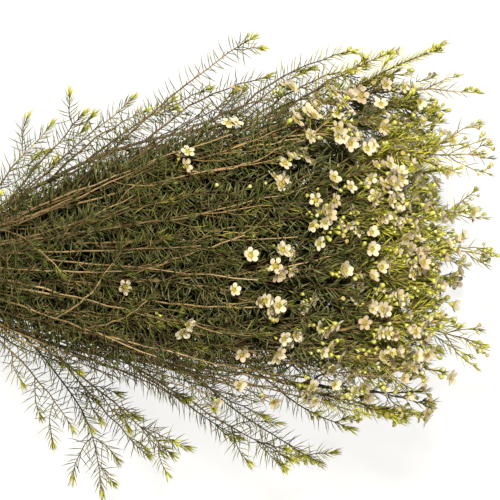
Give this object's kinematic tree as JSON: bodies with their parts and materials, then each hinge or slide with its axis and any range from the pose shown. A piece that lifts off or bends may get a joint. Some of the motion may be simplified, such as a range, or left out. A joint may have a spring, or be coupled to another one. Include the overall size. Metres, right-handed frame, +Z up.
{
  "type": "waxflower bunch",
  "caption": "Bunch of cut waxflower stems lying on its side, with forked needle-leaved twigs, small five-petalled flowers and buds, held near the cut ends by a rubber band.",
  "frame": {"origin": "middle of the bunch's box, on the surface that it lies on", "axes": "+X runs from the cut ends to the flowers, +Y across the bunch and +Z up from the surface"},
  "size_m": [0.6524, 0.4326, 0.1657],
  "materials": {
    "needles": "leathery olive needle leaves, satin",
    "twigs": "matte grey-brown bark, tan on young twigs",
    "petals": "matte creamy white petals",
    "buds": "satin yellow-green buds and cups",
    "rubber": "matte tan rubber"
  },
  "bodies": {
    "root": {"stem_01": "needles", "stem_02": "needles", "stem_03": "needles", "stem_04": "needles", "stem_05": "needles", "stem_06": "needles", "stem_07": "needles", "stem_08": "needles", "stem_09": "needles", "stem_10": "needles", "stem_11": "needles", "stem_12": "needles", "stem_13": "needles", "rubber_band": "rubber"}
  },
  "joints": []
}
